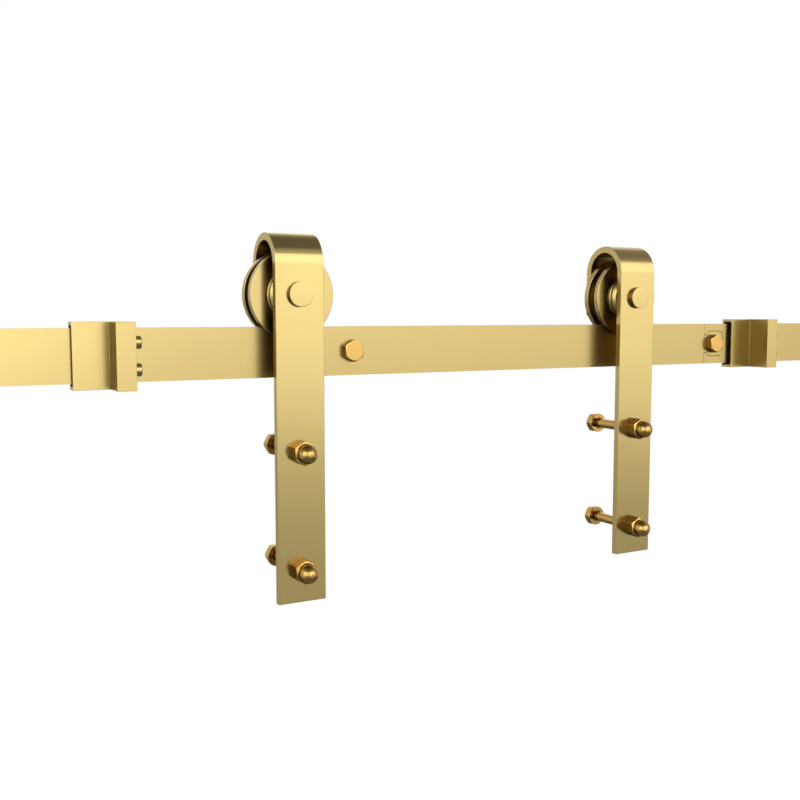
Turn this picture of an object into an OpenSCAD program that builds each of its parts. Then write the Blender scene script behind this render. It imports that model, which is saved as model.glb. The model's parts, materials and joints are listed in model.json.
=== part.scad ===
// Sliding barn door hardware: a flat wall rail in two interlocking lengths, two
// strap hangers with grooved ball-bearing wheels, and two clamped end stops.
// X runs along the rail, +Y points into the wall, +Z is up. The origin is on the
// wall's face, on the axis of the middle rail screw. Millimetres.

/* [Rail] */
// Height of the flat bar
rail_h = 40; // [32:1:50]
// Thickness of the flat bar
rail_t = 6; // [5:0.5:8]
// Length of the whole rail, both lengths together
rail_len = 2000; // [1900:10:2400]
// Distance between neighbouring wall screws
screw_pitch = 406.4; // [380:0.2:450]

/* [Rail joint] */
// Distance from the middle screw to the upright seam
seam_offset = 12; // [11:0.5:14]
// Half height of the tongue's neck
tongue_neck = 9; // [8:0.5:10]
// Distance from the seam to the full height of the tongue's head
tongue_rise = 8.5; // [7:0.5:10]
// Half height of the tongue's head
tongue_head = 12.5; // [11:0.5:14]
// Radius of the head's rounded corners
tongue_corner = 5.5; // [4:0.5:6]
// Reach of the tongue past the middle screw
tongue_reach = 14; // [12:0.5:18]
// Gap all round the tongue
tongue_gap = 0.15; // [0.1:0.05:0.3]

/* [Wall screws] */
// Width of the hexagon across its flats
screw_head_af = 16; // [15:0.5:18]
// Height of the hexagon head
screw_head_h = 6.4; // [5:0.2:7]
// Diameter of the plain shank
screw_d = 9.8; // [8:0.1:10]
// Diameter of the part that sits in the wall
screw_wall_d = 9; // [7:0.1:9.5]
// Length of the part that sits in the wall
screw_wall_len = 55; // [40:1:80]
// Outer diameter of the stand-off spacer
spacer_d = 20; // [16:1:26]

/* [Hanger strap] */
// Width of the strap
strap_w = 40; // [36:1:50]
// Thickness of the strap
strap_t = 6; // [5:0.5:8]
// Clear width inside the bend
strap_gap = 38; // [36:1:46]
// Distance from the axle down to the strap's lower end
strap_drop = 242; // [200:1:320]
// Gap between the wheel's rim and the inside of the bend, at the top
bend_clear = 7.3; // [5:0.1:20]
// Distance from the axle down to the end of the short leg
back_leg_drop = 16.5; // [12:0.5:24]
// Distance between the two hangers
hanger_pitch = 339.5; // [300:0.5:600]
// Distance from the middle screw back to the right hanger
hanger_offset = 121.1; // [60:0.1:180]

/* [Wheel] */
// Diameter over the flanges
wheel_d = 70; // [64:1:80]
// Rolling diameter at the bottom of the groove
tread_d = 50; // [44:1:56]
// Width over the flanges
wheel_w = 19; // [17:0.5:22]
// Width of the flat tread
tread_w = 8.2; // [7.4:0.1:8.4]
// Width of the groove at the flange rims
groove_w = 9; // [8.6:0.1:12]
// Wall of the hub round the bearing
hub_wall = 5; // [3:0.5:8]
// Length of the hub
hub_w = 30.6; // [28:0.2:34]
// Chamfer round the hub's ends
hub_edge = 2.4; // [0.5:0.1:3]
// Chamfer round the flanges' rims
rim_edge = 0.3; // [0.1:0.1:1]

/* [Bearing] */
// Bore of the ball bearing
bearing_bore = 10; // [8:1:10]
// Outer diameter of the ball bearing
bearing_d = 30; // [28:1:32]
// Width of the ball bearing
bearing_w = 9; // [8:1:10]
// Diameter of one ball
ball_d = 4.76; // [4:0.01:5]
// Balls in one bearing
ball_count = 8; // [6:1:9]

/* [Axle] */
// Diameter of the flat round head
axle_head_d = 19.6; // [16:0.1:24]
// Thickness of the flat round head
axle_head_h = 4; // [2:0.5:6]
// Width of the axle nut across its flats
axle_nut_af = 16; // [15:0.5:17]
// Height of the axle nut
axle_nut_h = 5.5; // [5:0.5:6]
// Outer diameter of the distance washers and the inner sleeve
axle_washer_d = 15; // [14:0.5:16]

/* [Door bolts] */
// Thickness of door that the bolts take
door_t = 46.5; // [38:0.5:56]
// Clear space between the door bolts' heads and the wall
wall_room = 7.3; // [3:0.1:25]
// Distance from the strap's lower end to the lower bolt
door_hole_edge = 25.5; // [20:0.1:60]
// Distance between the two bolts of one strap
door_hole_pitch = 93.8; // [60:0.1:120]
// Diameter of the bolt's threaded end
door_bolt_d = 10; // [8:1:10]
// Diameter of the bolt's rolled shank
door_shank_d = 9; // [7:0.1:9]
// Width of the bolt head across its flats
door_head_af = 16.6; // [15:0.1:18]
// Height of the bolt head
door_head_h = 6.4; // [5:0.2:7]
// Diameter of the washer under the bolt head
door_washer_d = 18; // [17:0.5:24]
// Thickness of the washer under the bolt head
door_washer_t = 1.8; // [1:0.1:3]

/* [Acorn nuts] */
// Width across the flats
acorn_af = 17; // [15:0.5:19]
// Height of the hexagon
acorn_hex_h = 9; // [7:0.5:11]
// Diameter of the dome
acorn_dome_d = 15; // [12:0.5:16]
// Height of the whole nut
acorn_h = 20.5; // [18:0.5:24]

/* [End stops] */
// Play between the sleeve and the rail's edges, above and below
stop_play = 1.9; // [0.5:0.1:5]
// Length of the sleeve in front of its wing
stop_plate_len = 26; // [18:0.5:40]
// Thickness of the wing
wing_t = 14; // [10:0.5:18]
// Distance that the wing stands in front of the rail
wing_reach = 27.5; // [20:0.5:34]
// Wall above and below the rail
stop_flange = 2.6; // [2:0.1:5]
// Wall in front of the rail
stop_front_t = 1.2; // [1:0.1:3]
// Wall behind the rail
stop_back_t = 2; // [1.5:0.1:4]
// Height of one lip behind the rail
stop_lip = 16; // [12:0.5:20]
// Thickness of the liner between the rail and the front wall
liner_t = 3.2; // [2:0.1:5]
// Height of the liner
liner_h = 34; // [20:1:38]
// Distance from the middle screw back to the left stop's outer end
left_stop_back = 627.4; // [560:0.1:780]
// Distance from the middle screw on to the right stop's outer end
right_stop_on = 21.8; // [16:0.1:200]
// Diameter of a bumper stud
stud_d = 9.5; // [6:0.1:12]
// Length that a bumper stud stands out
stud_out = 4.8; // [3:0.1:12]
// Distance between the two bumper studs
stud_pitch = 19.8; // [16:0.1:24]
// Distance from the wing's front face to the studs' axes
stud_setback = 7.4; // [5.5:0.1:12]
// Depth of a stud's hole in the wing
stud_in = 8; // [4:0.5:9]
// Diameter of a clamp screw
clamp_d = 5; // [4:1:6]
// Recess of a clamp screw's end below the sleeve's top
clamp_recess = 0.3; // [0.1:0.1:1]

/* [Clearances] */
// Gap between a moving wheel and the rail's top edge
tread_gap = 0.3; // [0.2:0.05:0.5]
// Radial clearance of a bolt in its hole
bolt_clear = 0.4; // [0.2:0.1:0.8]
// Radial running clearance of the axle in the bearings and washers
axle_fit = 0.05; // [0.02:0.01:0.1]
// Clearance between a ball and its tracks
ball_gap = 0.1; // [0.05:0.01:0.2]
// Gap between the back wall of a stop and the rail
stop_back_gap = 0.3; // [0.2:0.05:0.6]
// Recess of a bearing in the end of the hub
bearing_recess = 0.3; // [0.1:0.1:0.5]

/* [Hidden] */
$fn = 64;
eps = 0.01;

gold = [0.83, 0.70, 0.43];
pale_gold = [0.90, 0.78, 0.52];
copper_gold = [0.80, 0.56, 0.26];
steel = [0.70, 0.71, 0.73];
black = [0.09, 0.08, 0.08];

// Planes of the hangers and the rail, counted from the wall. The door and its
// bolts set how far everything stands off.
washer_y = -wall_room - door_head_h - door_washer_t;
strap_in_y = washer_y - door_t;
strap_front_y = strap_in_y - strap_t;
rail_mid_y = strap_in_y + strap_gap / 2;
rail_back_y = rail_mid_y + rail_t / 2;
rail_front_y = rail_mid_y - rail_t / 2;
leg_in_y = rail_mid_y + strap_gap / 2;
leg_back_y = leg_in_y + strap_t;

// Heights of the rail and the hangers, and where the hangers stand
rail_top_z = rail_h / 2;
axle_z = rail_top_z + tread_d / 2;
bend_z = axle_z + wheel_d / 2 + bend_clear - strap_gap / 2;
strap_end_z = axle_z - strap_drop;
door_hole_z = [strap_end_z + door_hole_edge, strap_end_z + door_hole_edge + door_hole_pitch];
left_x = -hanger_offset - hanger_pitch;
right_x = -hanger_offset;

// Bearing seats, counted from the wheel's middle plane
bearing_out = hub_w / 2 - bearing_recess;
bearing_in = bearing_out - bearing_w;
pitch_r = (bearing_bore + bearing_d) / 4;
track_r = ball_d / 2 + ball_gap;
inner_ring_r = pitch_r - 0.42 * ball_d;
outer_ring_r = pitch_r + 0.42 * ball_d;
shield_t = 0.5;
shield_gap = 0.4;
cage_t = 0.6;
cage_gap = 0.5;

// Stop sleeve round the rail
stop_h = rail_h + 2 * (stop_play + stop_flange);
stop_in_y = rail_front_y - liner_t;
stop_front_y = stop_in_y - stop_front_t;
stop_rear_in_y = rail_back_y + stop_back_gap;
stop_rear_y = stop_rear_in_y + stop_back_t;
wing_front_y = rail_front_y - wing_reach;
stud_y = wing_front_y + stud_setback;
clamp_len = stop_play + stop_flange - clamp_recess;
stop_len = stop_plate_len + wing_t;

// A solid turned about Y from a profile of (radius, distance along Y)
module turned_y(points) {
    rotate([-90, 0, 0]) rotate_extrude() polygon(points);
}

// A straight cylinder along Y, from y0 to y1
module rod_y(d, y0, y1) {
    translate([0, y0, 0]) rotate([-90, 0, 0]) cylinder(d = d, h = y1 - y0);
}

// A hexagon along Y, from y0 to y1, with its corners turned down at one end.
// A turn of 0 puts two corners level; a turn of 90 puts two corners upright.
module hex_y(af, y0, y1, turn, chamfer_at_y0) {
    corner_r = af / 2 / cos(30);
    bevel = (corner_r - af / 2) * 0.6;
    face_r = af / 2 * 0.97;
    intersection() {
        translate([0, y0, 0]) rotate([-90, turn, 0])
            cylinder(r = corner_r, h = y1 - y0, $fn = 6);
        if (chamfer_at_y0)
            turned_y([[0, y0], [face_r, y0], [corner_r + eps, y0 + bevel],
                [corner_r + eps, y1 + eps], [0, y1 + eps]]);
        else
            turned_y([[0, y0 - eps], [corner_r + eps, y0 - eps],
                [corner_r + eps, y1 - bevel], [face_r, y1], [0, y1]]);
    }
}

// ---------------------------------------------------------------- rail

function screw_xs() = [for (i = [-2:2]) i * screw_pitch];

// Outline of the tongue in the X-Z plane, grown by g all round: a straight neck
// and a wider head with four rounded corners
module tongue_outline(g) {
    head_x = tongue_rise - seam_offset;
    tip_x = tongue_reach - tongue_corner;
    corner_z = tongue_head - tongue_corner;
    translate([-seam_offset - eps, -tongue_neck - g])
        square([tongue_rise + eps, 2 * (tongue_neck + g)]);
    translate([head_x, -tongue_head - g])
        square([tip_x - head_x, 2 * (tongue_head + g)]);
    translate([head_x, -corner_z])
        square([tongue_reach + g - head_x, 2 * corner_z]);
    for (side = [-1, 1], x = [head_x, tip_x])
        translate([x, side * corner_z]) circle(r = tongue_corner + g);
}

// Holes for the wall screws, right through the bar
module screw_holes() {
    for (x = screw_xs())
        translate([x, 0, 0]) rod_y(screw_d + 2 * bolt_clear, rail_front_y - 1, rail_back_y + 1);
}

module rail_left() color(gold) difference() {
    union() {
        translate([-rail_len / 2, rail_front_y, -rail_h / 2])
            cube([rail_len / 2 - seam_offset, rail_t, rail_h]);
        translate([0, rail_back_y, 0]) rotate([90, 0, 0])
            linear_extrude(rail_t) tongue_outline(0);
    }
    screw_holes();
}

module rail_right() color(gold) difference() {
    translate([tongue_gap - seam_offset, rail_front_y, -rail_h / 2])
        cube([rail_len / 2 + seam_offset - tongue_gap, rail_t, rail_h]);
    translate([0, rail_back_y + 1, 0]) rotate([90, 0, 0])
        linear_extrude(rail_t + 2) tongue_outline(tongue_gap);
    screw_holes();
}

// Hexagon lag screws that hold the rail and its spacers to the wall
module wall_screws() color(copper_gold) {
    tip = screw_wall_d / 2;
    for (x = screw_xs()) translate([x, 0, 0]) {
        hex_y(screw_head_af, rail_front_y - screw_head_h, rail_front_y, 0, true);
        turned_y([[0, rail_front_y - eps], [screw_d / 2, rail_front_y - eps], [screw_d / 2, 0],
            [screw_wall_d / 2, 0], [screw_wall_d / 2, screw_wall_len - tip],
            [0.4, screw_wall_len], [0, screw_wall_len]]);
    }
}

// Round tubes that keep the rail off the wall
module wall_spacers() color(gold) {
    for (x = screw_xs()) translate([x, 0, 0]) difference() {
        rod_y(spacer_d, rail_back_y, 0);
        rod_y(screw_d + 2 * bolt_clear, rail_back_y - 1, 1);
    }
}

// -------------------------------------------------------------- hanger

// Flat strap bent over the wheel like a walking stick
module strap(x) {
    hole_d = bearing_bore + 2 * bolt_clear;
    outer_r = strap_gap / 2 + strap_t;
    color(gold) translate([x, 0, 0]) difference() {
        union() {
            translate([-strap_w / 2, strap_front_y, strap_end_z])
                cube([strap_w, strap_t, bend_z - strap_end_z]);
            translate([-strap_w / 2, leg_in_y, axle_z - back_leg_drop])
                cube([strap_w, strap_t, bend_z - axle_z + back_leg_drop]);
            translate([-strap_w / 2, rail_mid_y, bend_z]) rotate([0, 90, 0])
                intersection() {
                    difference() {
                        cylinder(r = outer_r, h = strap_w);
                        translate([0, 0, -1]) cylinder(r = strap_gap / 2, h = strap_w + 2);
                    }
                    translate([-outer_r - 1, -outer_r - 1, -1])
                        cube([outer_r + 1, 2 * outer_r + 2, strap_w + 2]);
                }
        }
        translate([0, 0, axle_z]) rod_y(hole_d, strap_front_y - 1, leg_back_y + 1);
        for (z = door_hole_z)
            translate([0, 0, z]) rod_y(door_bolt_d + 2 * bolt_clear, strap_front_y - 1, strap_in_y + 1);
    }
}

// Grooved wheel, bored from both ends for its bearings
module wheel(x) {
    w = wheel_w / 2;
    h = hub_w / 2;
    groove = groove_w / 2;
    tread = tread_w / 2;
    tread_r = tread_d / 2 - tread_gap;
    rim_r = wheel_d / 2;
    seat_r = bearing_d / 2;
    shoulder_r = seat_r - 3;
    hub_r = seat_r + hub_wall;
    color(pale_gold) translate([x, rail_mid_y, axle_z]) turned_y([
        [shoulder_r, -bearing_in], [seat_r, -bearing_in], [seat_r, -h],
        [hub_r - hub_edge, -h], [hub_r, -h + hub_edge], [hub_r, -w],
        [rim_r - rim_edge, -w], [rim_r, -w + rim_edge],
        [rim_r, -groove - rim_edge], [rim_r - rim_edge, -groove],
        [tread_r, -tread], [tread_r, tread],
        [rim_r - rim_edge, groove], [rim_r, groove + rim_edge],
        [rim_r, w - rim_edge], [rim_r - rim_edge, w],
        [hub_r, w], [hub_r, h - hub_edge], [hub_r - hub_edge, h],
        [seat_r, h], [seat_r, bearing_in], [shoulder_r, bearing_in]]);
}

// Places its children in both ends of one wheel's hub
module both_bearings(x) {
    for (side = [-1, 1])
        translate([x, rail_mid_y + side * (bearing_in + bearing_w / 2), axle_z]) children();
}

// Round the ball track: a ring about Y that the balls roll in
module ball_track() {
    rotate([-90, 0, 0]) rotate_extrude() translate([pitch_r, 0]) circle(r = track_r);
}

module bearing_outers(x) color(steel) both_bearings(x) {
    w = bearing_w / 2;
    difference() {
        rod_y(bearing_d, -w, w);
        rod_y(2 * outer_ring_r, -w - 1, w + 1);
        ball_track();
    }
}

module bearing_inners(x) color(steel) both_bearings(x) {
    w = bearing_w / 2;
    difference() {
        rod_y(2 * inner_ring_r, -w, w);
        rod_y(bearing_bore + 2 * axle_fit, -w - 1, w + 1);
        ball_track();
    }
}

// Turns its children to each ball's place
module at_each_ball() {
    for (i = [0:ball_count - 1])
        rotate([0, i * 360 / ball_count, 0]) translate([pitch_r, 0, 0]) children();
}

module bearing_balls(x) color(steel) both_bearings(x) at_each_ball()
    rotate([90, 0, 0]) sphere(d = ball_d);

// Thin ring with a round window for each ball
module bearing_cages(x) color("goldenrod") both_bearings(x) difference() {
    half_w = bearing_w / 2 - shield_gap - shield_t - cage_gap;
    rod_y(2 * (pitch_r + cage_t), -half_w, half_w);
    rod_y(2 * (pitch_r - cage_t), -bearing_w, bearing_w);
    at_each_ball() rotate([0, 90, 0]) cylinder(r = track_r, h = 4 * cage_t, center = true);
}

// Thin washers that close each bearing, held in its outer ring
module bearing_shields(x) color(steel) both_bearings(x) for (side = [-1, 1]) {
    outer = side * (bearing_w / 2 - shield_gap);
    inner = outer - side * shield_t;
    difference() {
        rod_y(2 * outer_ring_r, min(outer, inner), max(outer, inner));
        rod_y(2 * (inner_ring_r + shield_gap), -bearing_w, bearing_w);
    }
}

// Axle with a flat round head, through both legs of the strap
module axle_bolt(x) color(pale_gold) translate([x, 0, axle_z]) {
    edge = 0.5;
    head_y = strap_front_y - axle_head_h;
    end_y = leg_back_y + axle_nut_h + 1.5;
    turned_y([[0, head_y], [axle_head_d / 2 - edge, head_y], [axle_head_d / 2, head_y + edge],
        [axle_head_d / 2, strap_front_y], [bearing_bore / 2, strap_front_y],
        [bearing_bore / 2, end_y - edge], [bearing_bore / 2 - edge, end_y], [0, end_y]]);
}

// Distance sleeve between the two inner rings
module axle_sleeve(x) color(steel) translate([x, 0, axle_z]) difference() {
    rod_y(axle_washer_d, rail_mid_y - bearing_in, rail_mid_y + bearing_in);
    rod_y(bearing_bore + 2 * axle_fit, rail_mid_y - hub_w, rail_mid_y + hub_w);
}

// Thick washers between the inner rings and the strap's legs
module axle_washers(x) color(steel) translate([x, 0, axle_z]) difference() {
    union() {
        rod_y(axle_washer_d, strap_in_y, rail_mid_y - bearing_out);
        rod_y(axle_washer_d, rail_mid_y + bearing_out, leg_in_y);
    }
    rod_y(bearing_bore + 2 * axle_fit, strap_in_y - 1, leg_in_y + 1);
}

module axle_nut(x) color(pale_gold) translate([x, 0, axle_z]) difference() {
    hex_y(axle_nut_af, leg_back_y, leg_back_y + axle_nut_h, 90, false);
    rod_y(bearing_bore, leg_back_y - 1, leg_back_y + axle_nut_h + 1);
}

// ---------------------------------------------------------- door bolts

bolt_tip_y = strap_front_y - acorn_hex_h - 2;

module at_door_holes(x) {
    for (z = door_hole_z) translate([x, 0, z]) children();
}

module door_bolts(x) color(copper_gold) at_door_holes(x) {
    head_y = washer_y + door_washer_t;
    hex_y(door_head_af, head_y, head_y + door_head_h, 90, false);
    turned_y([[0, bolt_tip_y], [door_bolt_d / 2 - 1, bolt_tip_y], [door_bolt_d / 2, bolt_tip_y + 1],
        [door_bolt_d / 2, strap_in_y + 1], [door_shank_d / 2, strap_in_y + 1.5],
        [door_shank_d / 2, head_y + eps], [0, head_y + eps]]);
}

module door_washers(x) color(copper_gold) at_door_holes(x) difference() {
    rod_y(door_washer_d, washer_y, washer_y + door_washer_t);
    rod_y(door_bolt_d + 2 * bolt_clear, washer_y - 1, washer_y + door_washer_t + 1);
}

// Domed cap nuts on the strap's front
module acorn_nuts(x) color(copper_gold) at_door_holes(x) {
    dome_r = acorn_dome_d / 2;
    dome_y = strap_front_y - acorn_h + dome_r;
    hex_front_y = strap_front_y - acorn_hex_h;
    difference() {
        union() {
            hex_y(acorn_af, hex_front_y, strap_front_y, 0, true);
            rod_y(acorn_dome_d, dome_y, hex_front_y + 1);
            translate([0, dome_y, 0]) rotate([90, 0, 0]) sphere(r = dome_r);
        }
        rod_y(door_bolt_d, bolt_tip_y - 1, strap_front_y + 1);
    }
}

// ----------------------------------------------------------- end stops

// Sleeve round the rail with a wing that stands in front of it
module stop_body(x) color(gold) translate([x, 0, 0]) difference() {
    union() {
        translate([0, stop_front_y, -stop_h / 2])
            cube([stop_len, stop_rear_y - stop_front_y, stop_h]);
        translate([stop_plate_len, wing_front_y, -stop_h / 2])
            cube([wing_t, stop_front_y - wing_front_y + eps, stop_h]);
    }
    translate([-1, stop_in_y, stop_flange - stop_h / 2])
        cube([stop_len + 2, stop_rear_in_y - stop_in_y, stop_h - 2 * stop_flange]);
    translate([-1, stop_rear_in_y - 1, stop_flange - stop_h / 2 + stop_lip])
        cube([stop_len + 2, stop_back_t + 2, stop_h - 2 * (stop_flange + stop_lip)]);
    for (side = [-1, 1]) {
        translate([stop_len - stud_in, stud_y, side * stud_pitch / 2]) rotate([0, 90, 0])
            cylinder(d = clamp_d, h = stud_in + 1);
        translate([stop_len / 2 + side * stop_plate_len / 2, rail_mid_y, stop_h / 2 - stop_flange - 1])
            cylinder(d = clamp_d, h = stop_flange + 2);
    }
}

// Soft pad that fills the gap in front of the rail
module stop_liner(x) color(black) translate([x + 1, stop_in_y, -liner_h / 2])
    cube([stop_len - 2, liner_t, liner_h]);

// Rounded studs that the strap's edge meets, each on a thinner shank
module bumper_studs(x) color(pale_gold) for (side = [-1, 1]) {
    round_over = 0.8;
    translate([x + stop_len, stud_y, side * stud_pitch / 2]) rotate([0, 90, 0]) rotate_extrude()
        polygon([[0, -stud_in], [clamp_d / 2, -stud_in], [clamp_d / 2, 0], [stud_d / 2, 0],
            [stud_d / 2, stud_out - round_over], [stud_d / 2 - round_over, stud_out], [0, stud_out]]);
}

// Socket set screws that press on the rail's top edge
module clamp_screws(x) color(steel) for (side = [-1, 1]) {
    key_d = clamp_d / 2;
    translate([x + stop_len / 2 + side * stop_plate_len / 2, rail_mid_y, rail_top_z])
        difference() {
            cylinder(d = clamp_d, h = clamp_len);
            translate([0, 0, clamp_len / 2]) cylinder(d = key_d, h = clamp_len, $fn = 6);
        }
}

left_stop_x = -left_stop_back;
right_stop_x = right_stop_on;

rail_left();
rail_right();
wall_screws();
wall_spacers();
strap(left_x);  // strap_left
wheel(left_x);  // wheel_left
bearing_outers(left_x);  // bearing_outers_left
bearing_inners(left_x);  // bearing_inners_left
bearing_balls(left_x);  // bearing_balls_left
bearing_cages(left_x);  // bearing_cages_left
bearing_shields(left_x);  // bearing_shields_left
axle_bolt(left_x);  // axle_bolt_left
axle_sleeve(left_x);  // axle_sleeve_left
axle_washers(left_x);  // axle_washers_left
axle_nut(left_x);  // axle_nut_left
door_bolts(left_x);  // door_bolts_left
door_washers(left_x);  // door_washers_left
acorn_nuts(left_x);  // acorn_nuts_left
strap(right_x);  // strap_right
wheel(right_x);  // wheel_right
bearing_outers(right_x);  // bearing_outers_right
bearing_inners(right_x);  // bearing_inners_right
bearing_balls(right_x);  // bearing_balls_right
bearing_cages(right_x);  // bearing_cages_right
bearing_shields(right_x);  // bearing_shields_right
axle_bolt(right_x);  // axle_bolt_right
axle_sleeve(right_x);  // axle_sleeve_right
axle_washers(right_x);  // axle_washers_right
axle_nut(right_x);  // axle_nut_right
door_bolts(right_x);  // door_bolts_right
door_washers(right_x);  // door_washers_right
acorn_nuts(right_x);  // acorn_nuts_right
stop_body(left_stop_x);  // stop_body_left
stop_liner(left_stop_x);  // stop_liner_left
bumper_studs(left_stop_x);  // bumper_studs_left
clamp_screws(left_stop_x);  // clamp_screws_left
stop_body(right_stop_x);  // stop_body_right
stop_liner(right_stop_x);  // stop_liner_right
bumper_studs(right_stop_x);  // bumper_studs_right
clamp_screws(right_stop_x);  // clamp_screws_right
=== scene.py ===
import json
import math
import bmesh
import bpy
from mathutils import Matrix, Vector


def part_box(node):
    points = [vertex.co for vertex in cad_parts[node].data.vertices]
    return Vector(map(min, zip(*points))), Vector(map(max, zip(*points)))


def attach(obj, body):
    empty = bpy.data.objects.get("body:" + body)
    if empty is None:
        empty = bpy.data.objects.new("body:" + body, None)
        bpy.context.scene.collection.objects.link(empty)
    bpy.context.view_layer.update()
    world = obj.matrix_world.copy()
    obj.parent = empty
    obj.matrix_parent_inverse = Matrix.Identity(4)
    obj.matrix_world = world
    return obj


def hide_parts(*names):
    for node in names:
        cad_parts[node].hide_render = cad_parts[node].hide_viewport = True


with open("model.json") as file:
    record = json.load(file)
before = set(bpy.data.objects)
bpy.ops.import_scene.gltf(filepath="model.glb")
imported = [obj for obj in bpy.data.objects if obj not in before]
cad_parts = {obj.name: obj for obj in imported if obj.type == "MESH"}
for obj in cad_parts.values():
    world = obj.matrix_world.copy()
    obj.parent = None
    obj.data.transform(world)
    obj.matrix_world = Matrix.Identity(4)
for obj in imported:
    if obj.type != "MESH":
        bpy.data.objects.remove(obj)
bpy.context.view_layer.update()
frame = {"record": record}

# ---------------------------------------------------------------- studio
# A white studio. The camera stands left of the hangers, a little above the
# rail, and looks along the wall to the right. A large soft panel stands in
# front of the hardware; the sides, the ceiling and the back are grey.
mm = 0.001
CAMERA_PLACE = (-0.7465, -0.7625, 0.0300)
CAMERA_LOOKS_DOWN = 5.093
CAMERA_LOOKS_RIGHT = 28.254
scene = bpy.context.scene

camera_data = bpy.data.cameras.new("studio_camera")
camera_data.sensor_width = 36.0
camera_data.lens = 43.456
camera = bpy.data.objects.new("studio_camera", camera_data)
camera.location = CAMERA_PLACE
camera.rotation_euler = (math.radians(90 - CAMERA_LOOKS_DOWN), 0,
                         math.radians(-CAMERA_LOOKS_RIGHT))
scene.collection.objects.link(camera)
scene.camera = camera

scene.view_settings.view_transform = "Standard"
scene.view_settings.look = "None"

# Floor, well below the straps; it reads as white paper to the camera
FLOOR_HALF = 3.0
FLOOR_Z = -1.6
floor_mesh = bpy.data.meshes.new("studio_floor")
floor_bm = bmesh.new()
bmesh.ops.create_grid(floor_bm, x_segments=1, y_segments=1, size=FLOOR_HALF)
bmesh.ops.translate(floor_bm, verts=floor_bm.verts, vec=(0, 0, FLOOR_Z))
floor_bm.to_mesh(floor_mesh)
floor_bm.free()
floor = bpy.data.objects.new("studio_floor", floor_mesh)
scene.collection.objects.link(floor)
floor_paper = bpy.data.materials.new("studio_floor_paper")
floor_paper.use_nodes = True
fn, fl = floor_paper.node_tree.nodes, floor_paper.node_tree.links
floor_out = fn["Material Output"]
floor_shader = fn["Principled BSDF"]
floor_shader.inputs["Base Color"].default_value = (0.5, 0.5, 0.5, 1)
floor_shader.inputs["Roughness"].default_value = 0.9
floor_glow = fn.new("ShaderNodeEmission")
floor_path = fn.new("ShaderNodeLightPath")
floor_mix = fn.new("ShaderNodeMixShader")
fl.new(floor_path.outputs["Is Camera Ray"], floor_mix.inputs["Fac"])
fl.new(floor_shader.outputs["BSDF"], floor_mix.inputs[1])
fl.new(floor_glow.outputs["Emission"], floor_mix.inputs[2])
fl.new(floor_mix.outputs["Shader"], floor_out.inputs["Surface"])
floor_mesh.materials.append(floor_paper)


def tone_ramp(tree, stops, low, high, interpolation="LINEAR"):
    """A grey ramp whose stops are given as (angle in degrees, tone)."""
    ramp = tree.nodes.new("ShaderNodeValToRGB")
    ramp.color_ramp.interpolation = interpolation
    while len(ramp.color_ramp.elements) < len(stops):
        ramp.color_ramp.elements.new(0.5)
    for element, (angle, tone) in zip(ramp.color_ramp.elements, stops):
        element.position = (angle - low) / (high - low)
        element.color = (tone, tone, tone, 1)
    return ramp


def math_node(tree, operation, a, b=None, c=None):
    """One math node; each operand is a number or a socket."""
    node = tree.nodes.new("ShaderNodeMath")
    node.operation = operation
    for slot, value in zip(node.inputs, (a, b, c)):
        if value is None:
            continue
        if isinstance(value, (int, float)):
            slot.default_value = value
        else:
            tree.links.new(value, slot)
    return node.outputs[0]


# Tones by height above the horizon, in front of the hardware and elsewhere
FRONT_TONES = ((-90, 0.45), (-50, 0.60), (-32, 0.48), (-20, 0.31), (-13, 0.33), (-9, 0.45),
               (-4, 0.87), (-1, 0.97), (3, 0.99), (6, 1.20), (33, 1.25), (37, 0.50),
               (40, 0.36), (50, 0.30), (55, 0.12), (65, 0.09), (90, 0.08))
SIDE_TONES = ((-90, 0.50), (-45, 0.60), (-25, 0.40), (-10, 0.27), (25, 0.27), (40, 0.22),
              (50, 0.16), (60, 0.12), (90, 0.08))
# How much of the front panel there is, and how strong, by the compass: 0 is
# straight in front of the wall and the angle grows to the right
PANEL_SPREAD = ((-180, 0.60), (-172, 0.30), (-155, 0.22), (-95, 0.35), (-78, 1), (50, 1),
                (60, 0.25), (72, 0), (110, 0.10), (150, 0.60), (180, 0.60))
PANEL_GAIN = ((-180, 1.0), (-80, 1.0), (-50, 0.95), (-25, 0.60), (-8, 0.80), (1, 1.85), (6, 1.75),
              (10, 1.1), (15, 0.93), (24, 1.05), (34, 0.97), (42, 0.94), (180, 1.0))
world = bpy.data.worlds.new("studio_tent")
world.use_nodes = True
scene.world = world
tent = world.node_tree
tent.nodes.clear()
direction = tent.nodes.new("ShaderNodeTexCoord")
parts = tent.nodes.new("ShaderNodeSeparateXYZ")
tent.links.new(direction.outputs["Generated"], parts.inputs["Vector"])
height = math_node(tent, "ARCSINE", parts.outputs["Z"])
height = math_node(tent, "MULTIPLY_ADD", height, 1 / math.pi, 0.5)
toward = math_node(tent, "MULTIPLY", parts.outputs["Y"], -1.0)
compass = math_node(tent, "ARCTAN2", parts.outputs["X"], toward)
compass = math_node(tent, "MULTIPLY_ADD", compass, 0.5 / math.pi, 0.5)
front = tone_ramp(tent, FRONT_TONES, -90, 90)
sides = tone_ramp(tent, SIDE_TONES, -90, 90)
tent.links.new(height, front.inputs["Fac"])
tent.links.new(height, sides.inputs["Fac"])
spread = tone_ramp(tent, PANEL_SPREAD, -180, 180)
gain = tone_ramp(tent, PANEL_GAIN, -180, 180)
tent.links.new(compass, spread.inputs["Fac"])
tent.links.new(compass, gain.inputs["Fac"])
lit = math_node(tent, "MULTIPLY", front.outputs["Color"], gain.outputs["Color"])
blend = tent.nodes.new("ShaderNodeMix")
tent.links.new(spread.outputs["Color"], blend.inputs["Factor"])
tent.links.new(sides.outputs["Color"], blend.inputs["A"])
tent.links.new(lit, blend.inputs["B"])
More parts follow.
